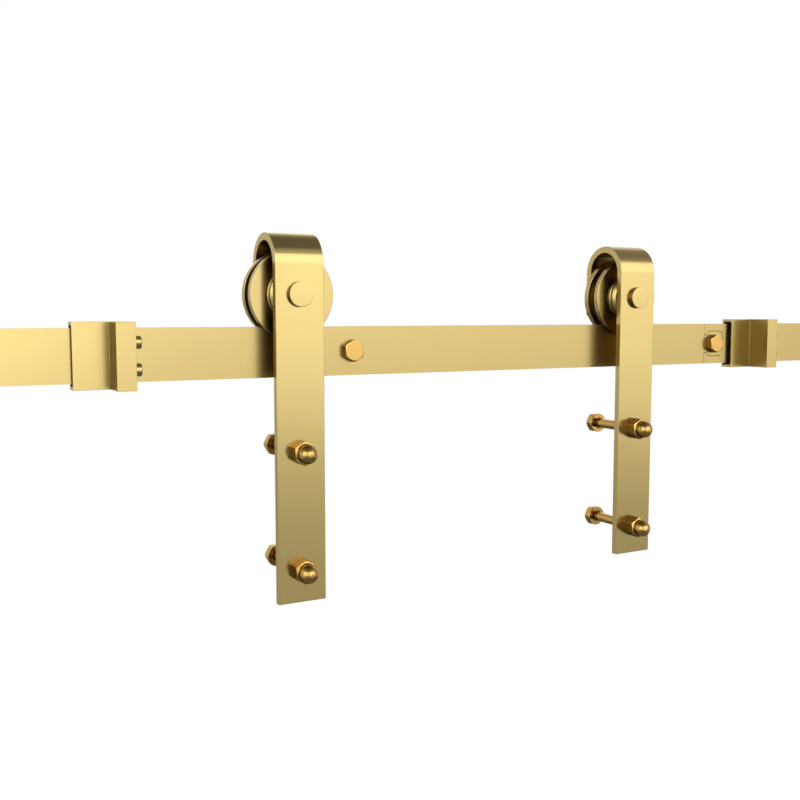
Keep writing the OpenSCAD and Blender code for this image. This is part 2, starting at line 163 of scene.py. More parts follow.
# Light that has to find its way between the pieces arrives much weaker
DEEP_LIGHT = 0.25
FIRST_BOUNCE, SECOND_BOUNCE = 2.5, 3.5
tent_path = tent.nodes.new("ShaderNodeLightPath")
past_first = math_node(tent, "GREATER_THAN", tent_path.outputs["Ray Depth"], FIRST_BOUNCE)
past_second = math_node(tent, "GREATER_THAN", tent_path.outputs["Ray Depth"], SECOND_BOUNCE)
weaker = math_node(tent, "MULTIPLY_ADD", past_first, DEEP_LIGHT - 1.0, 1.0)
weaker = math_node(tent, "MULTIPLY_ADD", past_second, -DEEP_LIGHT / 2, weaker)
around = tent.nodes.new("ShaderNodeBackground")
tent.links.new(blend.outputs["Result"], around.inputs["Color"])
tent.links.new(weaker, around.inputs["Strength"])
behind = tent.nodes.new("ShaderNodeBackground")
behind.inputs["Color"].default_value = (1, 1, 1, 1)
tent_mix = tent.nodes.new("ShaderNodeMixShader")
tent_out = tent.nodes.new("ShaderNodeOutputWorld")
tent.links.new(tent_path.outputs["Is Camera Ray"], tent_mix.inputs["Fac"])
tent.links.new(around.outputs["Background"], tent_mix.inputs[1])
tent.links.new(behind.outputs["Background"], tent_mix.inputs[2])
tent.links.new(tent_mix.outputs["Shader"], tent_out.inputs["Surface"])

# ---------------------------------------------------------------- rail
# Two lengths of flat 40 x 6 mm steel bar, powder coated champagne gold. The
# left one ends in a rounded tongue that drops into the right one's socket.
SIDES = ("left", "right")
screw_spots = [m["pos_m"] for m in frame["record"]["mounts"]
               if m["name"].startswith("wall_screw")]


def new_group(name, inputs, outputs):
    """An empty shader node group with named sockets; returns it and its ends."""
    tree = bpy.data.node_groups.new(name, "ShaderNodeTree")
    kinds = {"color": "NodeSocketColor", "value": "NodeSocketFloat",
             "vector": "NodeSocketVector"}
    for label, kind, default in inputs:
        made = tree.interface.new_socket(name=label, in_out="INPUT", socket_type=kinds[kind])
        made.default_value = default
    for label, kind in outputs:
        tree.interface.new_socket(name=label, in_out="OUTPUT", socket_type=kinds[kind])
    return tree, tree.nodes.new("NodeGroupInput"), tree.nodes.new("NodeGroupOutput")


def noise(tree, vector, scale, detail=2.0):
    """The grey value of a noise texture over the given coordinates."""
    tex = tree.nodes.new("ShaderNodeTexNoise")
    tex.inputs["Detail"].default_value = detail
    tree.links.new(vector, tex.inputs["Vector"])
    if isinstance(scale, (int, float)):
        tex.inputs["Scale"].default_value = scale
    else:
        tree.links.new(scale, tex.inputs["Scale"])
    return tex.outputs["Fac"]


def scaled_color(tree, color, factor):
    """A colour socket times a value socket."""
    tint = tree.nodes.new("ShaderNodeVectorMath")
    tint.operation = "SCALE"
    tree.links.new(color, tint.inputs[0])
    tree.links.new(factor, tint.inputs["Scale"])
    return tint.outputs["Vector"]


# Powder coat: a slow drift of tone, fine orange peel, faint wipe marks
powder_coat, gin, gout = new_group(
    "powder_coat_surface",
    (("Color", "color", (0.8, 0.6, 0.3, 1)), ("Roughness", "value", 0.3),
     ("Tone Drift", "value", 0.05), ("Peel Scale", "value", 700.0),
     ("Wipe Marks", "value", 0.05), ("Wipe Stretch", "vector", (60, 60, 9))),
    (("Color", "color"), ("Roughness", "value"), ("Height", "value")))
where = powder_coat.nodes.new("ShaderNodeTexCoord").outputs["Object"]
slow = math_node(powder_coat, "SUBTRACT", noise(powder_coat, where, 7.0, 3.0), 0.5)
drawn = powder_coat.nodes.new("ShaderNodeMapping")
powder_coat.links.new(where, drawn.inputs["Vector"])
powder_coat.links.new(gin.outputs["Wipe Stretch"], drawn.inputs["Scale"])
wipes = math_node(powder_coat, "SUBTRACT",
                  noise(powder_coat, drawn.outputs["Vector"], 1.0, 3.0), 0.5)
tone = math_node(powder_coat, "MULTIPLY_ADD", slow, gin.outputs["Tone Drift"], 1.0)
powder_coat.links.new(scaled_color(powder_coat, gin.outputs["Color"], tone), gout.inputs["Color"])
rough = math_node(powder_coat, "MULTIPLY_ADD", wipes, gin.outputs["Wipe Marks"],
                  gin.outputs["Roughness"])
powder_coat.links.new(rough, gout.inputs["Roughness"])
powder_coat.links.new(noise(powder_coat, where, gin.outputs["Peel Scale"]), gout.inputs["Height"])

# Rubbed edges and painted highlight: a broken mask along convex edges, where hands and tools
# polish; it also lifts the colour there as a painted edge highlight
edge_wear_and_highlight, gin, gout = new_group(
    "edge_wear_and_highlight", (("Radius", "value", 0.0006), ("Amount", "value", 0.5)),
    (("Mask", "value"),))
rounded = edge_wear_and_highlight.nodes.new("ShaderNodeBevel")
rounded.samples = 4
edge_wear_and_highlight.links.new(gin.outputs["Radius"], rounded.inputs["Radius"])
facing = edge_wear_and_highlight.nodes.new("ShaderNodeNewGeometry")
likeness = edge_wear_and_highlight.nodes.new("ShaderNodeVectorMath")
likeness.operation = "DOT_PRODUCT"
edge_wear_and_highlight.links.new(rounded.outputs["Normal"], likeness.inputs[0])
edge_wear_and_highlight.links.new(facing.outputs["Normal"], likeness.inputs[1])
edge = edge_wear_and_highlight.nodes.new("ShaderNodeMapRange")
edge.inputs["From Min"].default_value = 0.995
edge.inputs["From Max"].default_value = 0.85
edge_wear_and_highlight.links.new(likeness.outputs["Value"], edge.inputs["Value"])
where = edge_wear_and_highlight.nodes.new("ShaderNodeTexCoord").outputs["Object"]
broken = math_node(edge_wear_and_highlight, "MULTIPLY", edge.outputs["Result"],
                   noise(edge_wear_and_highlight, where, 160.0, 3.0))
broken = math_node(edge_wear_and_highlight, "MULTIPLY", broken, gin.outputs["Amount"])
edge_wear_and_highlight.links.new(broken, gout.inputs["Mask"])

# Turned grain: fine rings about an axle that lies along Y
turned_grain, gin, gout = new_group(
    "turned_grain", (("Centre", "vector", (0, 0, 0)), ("Rings", "value", 2500.0)),
    (("Height", "value"),))
where = turned_grain.nodes.new("ShaderNodeTexCoord").outputs["Object"]
offset = turned_grain.nodes.new("ShaderNodeVectorMath")
offset.operation = "SUBTRACT"
turned_grain.links.new(where, offset.inputs[0])
turned_grain.links.new(gin.outputs["Centre"], offset.inputs[1])
flatten = turned_grain.nodes.new("ShaderNodeVectorMath")
flatten.operation = "MULTIPLY"
flatten.inputs[1].default_value = (1, 0, 1)
turned_grain.links.new(offset.outputs["Vector"], flatten.inputs[0])
radius = turned_grain.nodes.new("ShaderNodeVectorMath")
radius.operation = "LENGTH"
turned_grain.links.new(flatten.outputs["Vector"], radius.inputs[0])
along = turned_grain.nodes.new("ShaderNodeSeparateXYZ")
turned_grain.links.new(offset.outputs["Vector"], along.inputs["Vector"])
path = math_node(turned_grain, "ADD", radius.outputs["Value"], along.outputs["Y"])
rings = turned_grain.nodes.new("ShaderNodeTexNoise")
rings.noise_dimensions = "1D"
turned_grain.links.new(path, rings.inputs["W"])
turned_grain.links.new(gin.outputs["Rings"], rings.inputs["Scale"])
turned_grain.links.new(rings.outputs["Fac"], gout.inputs["Height"])


def use_group(mat, tree, **values):
    """A group node in a material; keyword names have _ for a blank."""
    node = mat.node_tree.nodes.new("ShaderNodeGroup")
    node.node_tree = tree
    for label, value in values.items():
        node.inputs[label.replace("_", " ")].default_value = value
    return node


def add_bump(mat, height, distance, strength=0.2):
    """Feeds a height into a material's normal; distance in metres."""
    bump = mat.node_tree.nodes.new("ShaderNodeBump")
    bump.inputs["Strength"].default_value = strength
    bump.inputs["Distance"].default_value = distance
    mat.node_tree.links.new(height, bump.inputs["Height"])
    mat.node_tree.links.new(bump.outputs["Normal"],
                            mat.node_tree.nodes["Principled BSDF"].inputs["Normal"])


# Lift of the colour on rubbed edges: wear, and a painted edge highlight
RUBBED_AND_HIGHLIGHT_LIFT = 0.25
RUBBED_SMOOTHER = 0.15
RING_ROUGHNESS = 0.15


def metal_finish(name, color, roughness, drift=0.05, peel_scale=700.0, peel=0.004, wipes=0.03,
                 wear_and_highlight=0.4, turned_about=None, ring_depth=0.02, along=(60, 60, 9)):
    """A metallic finish; turned_about adds turning rings round that centre."""
    mat = bpy.data.materials.new(name)
    mat.use_nodes = True
    tree = mat.node_tree
    shader = tree.nodes["Principled BSDF"]
    shader.inputs["Metallic"].default_value = 1.0
    coat = use_group(mat, powder_coat, Color=(*color, 1), Roughness=roughness, Tone_Drift=drift,
                     Peel_Scale=peel_scale, Wipe_Marks=wipes, Wipe_Stretch=along)
    edges = use_group(mat, edge_wear_and_highlight, Amount=wear_and_highlight)
    # Painted highlight: the edge mask brightens the base colour along convex edges, as well as
    # making them smoother
    rubbed_and_highlight_lift = math_node(tree, "MULTIPLY_ADD", edges.outputs["Mask"], RUBBED_AND_HIGHLIGHT_LIFT, 1.0)
    tree.links.new(scaled_color(tree, coat.outputs["Color"], rubbed_and_highlight_lift),
                   shader.inputs["Base Color"])
    smoother = math_node(tree, "MULTIPLY_ADD", edges.outputs["Mask"], -RUBBED_SMOOTHER,
                         coat.outputs["Roughness"])
    if turned_about is None:
        tree.links.new(smoother, shader.inputs["Roughness"])
        add_bump(mat, coat.outputs["Height"], peel * mm)
        return mat
    grain = use_group(mat, turned_grain, Centre=turned_about)
    centred = math_node(tree, "SUBTRACT", grain.outputs["Height"], 0.5)
    tree.links.new(math_node(tree, "MULTIPLY_ADD", centred, RING_ROUGHNESS, smoother),
                   shader.inputs["Roughness"])
    add_bump(mat, grain.outputs["Height"], ring_depth * mm)
    return mat


SAME_PLACE = 0.0005


def spin_profile(bm, profile, centre, steps=64, closed=False, axis="Y"):
    """Turns (radius, distance) pairs in mm about an axis through centre."""
    cx, cy, cz = centre
    if axis == "Y":
        places = [(cx + r * mm, cy + d * mm, cz) for r, d in profile]
        about = (0, 1, 0)
    else:
        places = [(cx + d * mm, cy + r * mm, cz) for r, d in profile]
        about = (1, 0, 0)
    if axis == "Z":
        places = [(cx + r * mm, cy, cz + d * mm) for r, d in profile]
        about = (0, 0, 1)
    verts = [bm.verts.new(p) for p in places]
    pairs = list(zip(verts, verts[1:]))
    if closed:
        pairs.append((verts[-1], verts[0]))
    edges = [bm.edges.new(pair) for pair in pairs]
    others = set(bm.verts) - set(verts)
    bmesh.ops.spin(bm, geom=verts + edges, cent=centre, axis=about, angle=math.tau,
                   steps=steps, use_merge=True)
    made = [v for v in bm.verts if v not in others]
    bmesh.ops.remove_doubles(bm, verts=made, dist=SAME_PLACE * mm)


def loft(bm, sections, caps=True, ring_shut=False):
    """Bridges closed loops of points, in metres, from the first to the last."""
    loops = []
    for points in sections:
        made = bmesh.ops.create_circle(bm, segments=len(points), radius=1)["verts"]
        for vert, point in zip(made, points):
            vert.co = point
        seen = []
        for vert in made:
            for side in vert.link_edges:
                if side not in seen:
                    seen.append(side)
        loops.append(seen)
    pairs = list(zip(loops, loops[1:]))
    if ring_shut:
        pairs.append((loops[-1], loops[0]))
    for one, other in pairs:
        bmesh.ops.bridge_loops(bm, edges=one + other)
    if caps and not ring_shut:
        for end in (loops[0], loops[-1]):
            bmesh.ops.edgeloop_fill(bm, edges=end)


def extrude_outline(bm, outline, direction):
    """A solid from a closed outline of points pushed along a direction."""
    face = bm.faces.new([bm.verts.new(p) for p in outline])
    made = bmesh.ops.extrude_face_region(bm, geom=[face])["geom"]
    bmesh.ops.translate(bm, verts=[v for v in made if isinstance(v, bmesh.types.BMVert)],
                        vec=direction)


def block(bm, lo, hi):
    """A box between two corners, in metres."""
    (x0, y0, z0), (x1, y1, z1) = lo, hi
    extrude_outline(bm, [(x0, y0, z0), (x1, y0, z0), (x1, y0, z1), (x0, y0, z1)],
                    (0, y1 - y0, 0))


def rod(bm, radius, start, end, segments=48):
    """A plain round rod between two points on a line along X, Y or Z."""
    start, end = Vector(start), Vector(end)
    turn = (end - start).to_track_quat("Z", "Y").to_matrix().to_4x4()
    bmesh.ops.create_cone(bm, cap_ends=True, segments=segments, radius1=radius, radius2=radius,
                          depth=(end - start).length,
                          matrix=Matrix.Translation((start + end) / 2) @ turn)


def combine(bm, other, operation):
    """Joins another solid to this one, or cuts it away; both go into a new mesh."""
    pair = []
    for index, source in enumerate((bm, other)):
        bmesh.ops.recalc_face_normals(source, faces=source.faces)
        mesh = bpy.data.meshes.new("work_%d" % index)
        source.to_mesh(mesh)
        source.free()
        ob = bpy.data.objects.new("work_%d" % index, mesh)
        scene.collection.objects.link(ob)
        pair.append(ob)
    body, tool = pair
    cut = body.modifiers.new("cut", "BOOLEAN")
    cut.operation = operation
    cut.solver = "EXACT"
    cut.object = tool
    bpy.context.view_layer.update()
    result = bmesh.new()
    result.from_mesh(body.evaluated_get(bpy.context.evaluated_depsgraph_get()).data)
    for ob in pair:
        mesh = ob.data
        bpy.data.objects.remove(ob)
        bpy.data.meshes.remove(mesh)
    return result


def finish(bm, name, body, nodes, material, ease=0.0, sharp=32, segments=2, flat=True):
    """Closes a mesh as one finished piece; ease rounds its edges, in mm."""
    bmesh.ops.remove_doubles(bm, verts=bm.verts, dist=SAME_PLACE * mm)
    bmesh.ops.recalc_face_normals(bm, faces=bm.faces)
    for side in bm.edges:
        if len(side.link_faces) == 2:
            side.smooth = side.calc_face_angle(0) < math.radians(sharp)
    for face in bm.faces:
        face.smooth = True
    mesh = bpy.data.meshes.new(name)
    bm.to_mesh(mesh)
    bm.free()
    ob = bpy.data.objects.new(name, mesh)
    scene.collection.objects.link(ob)
    mesh.materials.append(material)
    if ease:
        bevel = ob.modifiers.new("eased_edges", "BEVEL")
        bevel.width = ease * mm
        bevel.segments = segments
        bevel.limit_method = "ANGLE"
        bevel.angle_limit = math.radians(sharp)
    if flat:
        level = ob.modifiers.new("flat_faces_stay_flat", "WEIGHTED_NORMAL")
        level.keep_sharp = True
    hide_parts(*nodes)
    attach(ob, body)
    return ob


GOLD = (0.98, 0.75, 0.295)
SCREW_HOLE_R = 5.3
SEAM_X = -12.0
NECK = 9.0
HEAD = 12.5
HEAD_X = -3.5
CORNER_R = 5.5
CORNER_STEPS = 8
TONGUE_GAP = 0.15
OVERRUN = 2.0


def tongue_edge(grow):
    """The tongue's outline from the seam's lower end round to its upper end."""
    tip_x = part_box("rail_left")[1].x / mm - CORNER_R
    corner_z = HEAD - CORNER_R
    radius = CORNER_R + grow
    start = math.asin((NECK + grow - corner_z) / radius)
    upper = [(SEAM_X, NECK + grow)]
    for i in range(CORNER_STEPS + 1):
        turn = start + (math.pi / 2 - start) * i / CORNER_STEPS
        upper.append((HEAD_X - radius * math.cos(turn), corner_z + radius * math.sin(turn)))
    for i in range(CORNER_STEPS + 1):
        turn = math.pi / 2 * (1 - i / CORNER_STEPS)
        upper.append((tip_x + radius * math.cos(turn), corner_z + radius * math.sin(turn)))
    return [(x, -z) for x, z in upper] + list(reversed(upper))


# Painted shade: the straps' champagne gold made darker for the dimmer rail; the wheels take the
# same darker gold
SHADED_COAT_GOLD = (0.88, 0.67, 0.265)
rail_coat = metal_finish("rail_coat", SHADED_COAT_GOLD, 0.27, drift=0.06, wipes=0.015,
                         along=(7, 90, 90))
for side in SIDES:
    node = "rail_" + side
    lo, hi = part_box(node)
    top = hi.z / mm
    if side == "left":
        outline = [(lo.x / mm, -top), (SEAM_X, -top)] + tongue_edge(0) \
            + [(SEAM_X, top), (lo.x / mm, top)]
    else:
        seam = SEAM_X + TONGUE_GAP
        edge_points = tongue_edge(TONGUE_GAP)
        edge_points[0] = (seam, edge_points[0][1])
        edge_points[-1] = (seam, edge_points[-1][1])
        outline = [(hi.x / mm, top), (seam, top)] + list(reversed(edge_points)) \
            + [(seam, -top), (hi.x / mm, -top)]
    bar = bmesh.new()
    extrude_outline(bar, [(x * mm, lo.y, z * mm) for x, z in outline], (0, hi.y - lo.y, 0))
    drill = bmesh.new()
    for x, y, z in screw_spots:
        if (side == "left") == (x <= 0):
            rod(drill, SCREW_HOLE_R * mm, (x, lo.y - OVERRUN * mm, z),
                (x, hi.y + OVERRUN * mm, z))
    bar = combine(bar, drill, "DIFFERENCE")
    finish(bar, "rail_bar_" + side, "rail", [node], rail_coat, ease=0.3)

# ----------------------------------------------------------- wall screws
# Hexagon-head lag screws, copper-gold plated steel, through the bar and its
# spacers into the wall. The head is forged, the coarse thread is rolled.
COPPER_GOLD = (0.98, 0.61, 0.175)
plated = metal_finish("copper_gold_plate", COPPER_GOLD, 0.16, drift=0.10, peel_scale=420.0,
                      peel=0.02, wipes=0.12, wear_and_highlight=0.5)


CORNER_ROLL = 0.985
CHAMFER_SLOPE = 0.6
TURNED_FACE = 0.97
EDGE_BREAK = 0.3


def hexagon(across_flats, phase, inset=0.0, per_side=8):
    """Points (x, z) in mm round a hexagon with slightly rolled corners."""
    corner = across_flats / 2 / math.cos(math.pi / 6)
    points = []
    for i in range(6 * per_side):
        turn = math.tau * i / (6 * per_side)
        within = (turn - phase + math.pi / 6) % (math.pi / 3) - math.pi / 6
        reach = min(across_flats / 2 / math.cos(within), corner * CORNER_ROLL) - inset
        points.append((reach * math.cos(turn), reach * math.sin(turn)))
    return points


def round_points(radius, count=48):
    """Points (x, z) in mm round a circle."""
    return [(radius * math.cos(math.tau * i / count), radius * math.sin(math.tau * i / count))
            for i in range(count)]


def at_depth(points, depth, centre):
    """Places (x, z) points in mm at a distance along Y from a centre in metres."""
    return [(centre[0] + x * mm, centre[1] + depth * mm, centre[2] + z * mm) for x, z in points]


def chamfered(outline, depth, toward, face_r, centre):
    """A hexagon's outline where its turned chamfer meets the flats."""
    placed = []
    for x, z in outline:
        beyond = max(0.0, math.hypot(x, z) - face_r)
        along = depth - toward * beyond * CHAMFER_SLOPE
        placed.append((centre[0] + x * mm, centre[1] + along * mm, centre[2] + z * mm))
    return placed


def hex_head(bm, across_flats, face, base, centre, phase):
    """A closed hexagon head whose turned face lies at one end."""
    toward = 1 if face > base else -1
    face_r = across_flats / 2 * TURNED_FACE
    outline = hexagon(across_flats, phase)
    loft(bm, [
        at_depth(hexagon(across_flats, phase, EDGE_BREAK), base, centre),
        at_depth(outline, base + toward * EDGE_BREAK, centre),
        chamfered(outline, face - toward * 0.05, toward, face_r, centre),
        at_depth(round_points(face_r - EDGE_BREAK), face, centre)])


STEPS_A_TURN = 20
FLANK_SHARE = 0.36
CREST_SHARE = 0.08
ROOT_DEPTH = 0.3


def thread(bm, core, crest, start, end, pitch, centre, axis="Y", fade=0.6):
    """A rolled thread: one winding ridge, sunk into the shank, that fades at both ends."""
    turns = (end - start) / pitch
    steps = max(4, int(abs(turns) * STEPS_A_TURN))
    half = pitch * FLANK_SHARE
    top = pitch * CREST_SHARE
    root = core - ROOT_DEPTH
    ridge = [(root, -half), (core, -half), (crest, -top), (crest, top), (core, half),
             (root, half)]
    rows = []
    for i in range(steps + 1):
        part = i / steps
        turn = math.tau * turns * part
        grow = min(1.0, part * abs(turns) / fade, (1 - part) * abs(turns) / fade)
        row = []
        for r, along in ridge:
            reach = root + (r - root) * max(grow, 0.02)
            flat = start + (end - start) * part + along
            u, v = reach * math.cos(turn), reach * math.sin(turn)
            local = {"X": (flat, u, v), "Y": (u, flat, v), "Z": (u, v, flat)}[axis]
            row.append(tuple(c + l * mm for c, l in zip(centre, local)))
        rows.append(row)
    loft(bm, rows)


SCREW_AF = 16.0
SCREW_R = 4.9
LAG_CORE_R = 3.7
LAG_CREST_R = 4.6
LAG_PITCH = 4.2
LAG_POINT = 8.0
lo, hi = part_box("wall_screws")
screw_head_y, screw_tip_y = lo.y / mm, hi.y / mm
bar_front_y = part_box("rail_left")[0].y / mm
screws = bmesh.new()
for spot in screw_spots:
    hex_head(screws, SCREW_AF, screw_head_y, bar_front_y, spot, 0.0)
    spin_profile(screws, [(0, bar_front_y - 1), (SCREW_R, bar_front_y - 1), (SCREW_R, -2),
                          (LAG_CORE_R, 1), (LAG_CORE_R, screw_tip_y - LAG_POINT),
                          (0.3, screw_tip_y - 0.3), (0, screw_tip_y)], spot, 32)
    thread(screws, LAG_CORE_R - 0.1, LAG_CREST_R, 3, screw_tip_y - LAG_POINT - 0.5, LAG_PITCH,
           spot)
finish(screws, "lag_screws", "rail", ["wall_screws"], plated, ease=0.15)

# --------------------------------------------------------- wall spacers
# Turned steel tubes, coated like the bar, one round each wall screw. They
# keep the bar off the wall so that the wheels can pass behind it.
spacer_coat = metal_finish("spacer_coat", GOLD, 0.32, drift=0.08, turned_about=(0, 0, 0),
                           ring_depth=0.01)
lo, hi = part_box("wall_spacers")
SPACER_R = (hi.z - lo.z) / 2 / mm
spacers = bmesh.new()
for spot in screw_spots:
    spin_profile(spacers, [(SCREW_HOLE_R, lo.y / mm), (SPACER_R, lo.y / mm), (SPACER_R, hi.y / mm),
                           (SCREW_HOLE_R, hi.y / mm)], spot, 64, closed=True)
finish(spacers, "spacer_tubes", "rail", ["wall_spacers"], spacer_coat, ease=0.8)

# ---------------------------------------------------------------- straps
# Flat 40 x 6 mm steel, bent over a round former like a walking stick, with
# sheared and tumbled edges, drilled for the axle and two door bolts.
STRAP_T = 6.0
AXLE_HOLE_R = 5.4
BACK_LEG_DROP = 16.5
BEND_STEPS = 48
strap_coat = metal_finish("strap_coat", GOLD, 0.17, drift=0.05)
joint_spot = {j["name"]: Vector(j["pos_m"]) for j in frame["record"]["behaviour"]["joints"]
              if "pos_m" in j}
axle = {side: joint_spot["wheel_%s_spin" % side] for side in SIDES}


def bolt_heights(side):
    """The heights of a strap's two door bolts, from their washers' box."""
    low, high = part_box("door_washers_" + side)
    washer_r = (high.x - low.x) / 2
    return low.z + washer_r, high.z - washer_r


for side in SIDES:
    lo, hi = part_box("strap_" + side)
    outer_r = (hi.y - lo.y) / 2
    inner_r = outer_r - STRAP_T * mm
    middle_y = (lo.y + hi.y) / 2
    bend_z = hi.z - outer_r
    leg_z = axle[side].z - BACK_LEG_DROP * mm
    turns = [math.pi * i / BEND_STEPS for i in range(BEND_STEPS + 1)]
    outline = [(lo.y, lo.z)] \
        + [(middle_y - outer_r * math.cos(t), bend_z + outer_r * math.sin(t)) for t in turns] \
        + [(hi.y, leg_z), (hi.y - STRAP_T * mm, leg_z)] \
        + [(middle_y + inner_r * math.cos(t), bend_z + inner_r * math.sin(t)) for t in turns] \
        + [(lo.y + STRAP_T * mm, lo.z)]
    strap = bmesh.new()
    extrude_outline(strap, [(lo.x, y, z) for y, z in outline], (hi.x - lo.x, 0, 0))
    drill = bmesh.new()
    x = axle[side].x
    near = lo.y - OVERRUN * mm
    rod(drill, AXLE_HOLE_R * mm, (x, near, axle[side].z),
        (x, hi.y + OVERRUN * mm, axle[side].z))
    for z in bolt_heights(side):
        rod(drill, AXLE_HOLE_R * mm, (x, near, z), (x, lo.y + (STRAP_T + OVERRUN) * mm, z))
    strap = combine(strap, drill, "DIFFERENCE")
    finish(strap, "bent_strap_" + side, "hanger_" + side, ["strap_" + side],
           strap_coat, ease=0.35)

# ---------------------------------------------------------------- wheels
# Grooved wheels turned from steel bar and coated: two flanges, a flat tread,
# and a long hub bored from both ends for its bearings.
HUB_EDGE = 2.4
RIM_EDGE = 0.3
TREAD_R = 24.7
TREAD_HALF = 4.1
GROOVE_HALF = 4.5
FLANGE_HALF = 9.5
BEARING_R = 15.0
BEARING_IN = 6.0
SEAT_EDGE = 0.4
SHOULDER = 3.0
HUB_R = 20.0
HUB_FILLET = 0.6
TREAD_RISE = 0.8
TREAD_FLAT = TREAD_HALF - 0.7
TREAD_SIDE = TREAD_HALF + 0.1
for side in SIDES:
    lo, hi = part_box("wheel_" + side)
    rim = (hi.x - lo.x) / 2 / mm
    hub_half = (hi.y - lo.y) / 2 / mm
    half = [(rim - RIM_EDGE, GROOVE_HALF), (rim, GROOVE_HALF + RIM_EDGE),
            (rim, FLANGE_HALF - RIM_EDGE), (rim - RIM_EDGE, FLANGE_HALF),
            (HUB_R + HUB_FILLET, FLANGE_HALF), (HUB_R, FLANGE_HALF + HUB_FILLET),
            (HUB_R, hub_half - HUB_EDGE), (HUB_R - HUB_EDGE, hub_half),
            (BEARING_R + SEAT_EDGE, hub_half), (BEARING_R, hub_half - SEAT_EDGE),
            (BEARING_R, BEARING_IN), (BEARING_R - SHOULDER, BEARING_IN)]
    tread = [(TREAD_R + TREAD_RISE, -TREAD_SIDE), (TREAD_R, -TREAD_FLAT), (TREAD_R, TREAD_FLAT),
             (TREAD_R + TREAD_RISE, TREAD_SIDE)]
    profile = [(r, -d) for r, d in reversed(half)] + tread + half
    wheel = bmesh.new()
    spin_profile(wheel, profile, axle[side], 128, closed=True)
    # The wheels use the darker gold, painted shade like the rail's
    wheel_coat = metal_finish("wheel_coat_" + side, SHADED_COAT_GOLD, 0.2, drift=0.04,
                              turned_about=tuple(axle[side]), ring_depth=0.012)
    finish(wheel, "grooved_wheel_" + side, "wheel_" + side, ["wheel_" + side],
           wheel_coat, ease=0.18, sharp=20)

# -------------------------------------------------------------- bearings
# Two deep-groove ball bearings in each hub: ground steel rings and balls, a
# pressed brass cage, and thin pressed shields clipped into the outer rings.
PITCH_R = 10.0
BALL_R = 2.38
TRACK_R = 2.48
RING_EDGE = 2.0
BORE_R = 5.05
WIDTH_HALF = 4.5
RING_CORNER = 0.4
BALLS = 8
TRACK_STEPS = 6
CAGE_T = 0.5
CAGE_HALF = 3.0
SHIELD_IN_R, SHIELD_STEP_R, SHIELD_OUT_R = 8.5, 10.6, 11.9
SHIELD_T = 0.5
SHIELD_STEP = 0.2
zinc = metal_finish("zinc_plate", (0.62, 0.63, 0.65), 0.30, drift=0.20, peel_scale=260.0,
                    peel=0.02, wipes=0.2)
cage_brass = metal_finish("cage_brass", (0.78, 0.56, 0.22), 0.28, drift=0.12, wipes=0.15)
track_turn = math.acos(RING_EDGE / TRACK_R)
track = [(RING_EDGE if abs(i) == TRACK_STEPS else TRACK_R * math.cos(track_turn * i / TRACK_STEPS),
          TRACK_R * math.sin(track_turn * i / TRACK_STEPS))
         for i in range(-TRACK_STEPS, TRACK_STEPS + 1)]
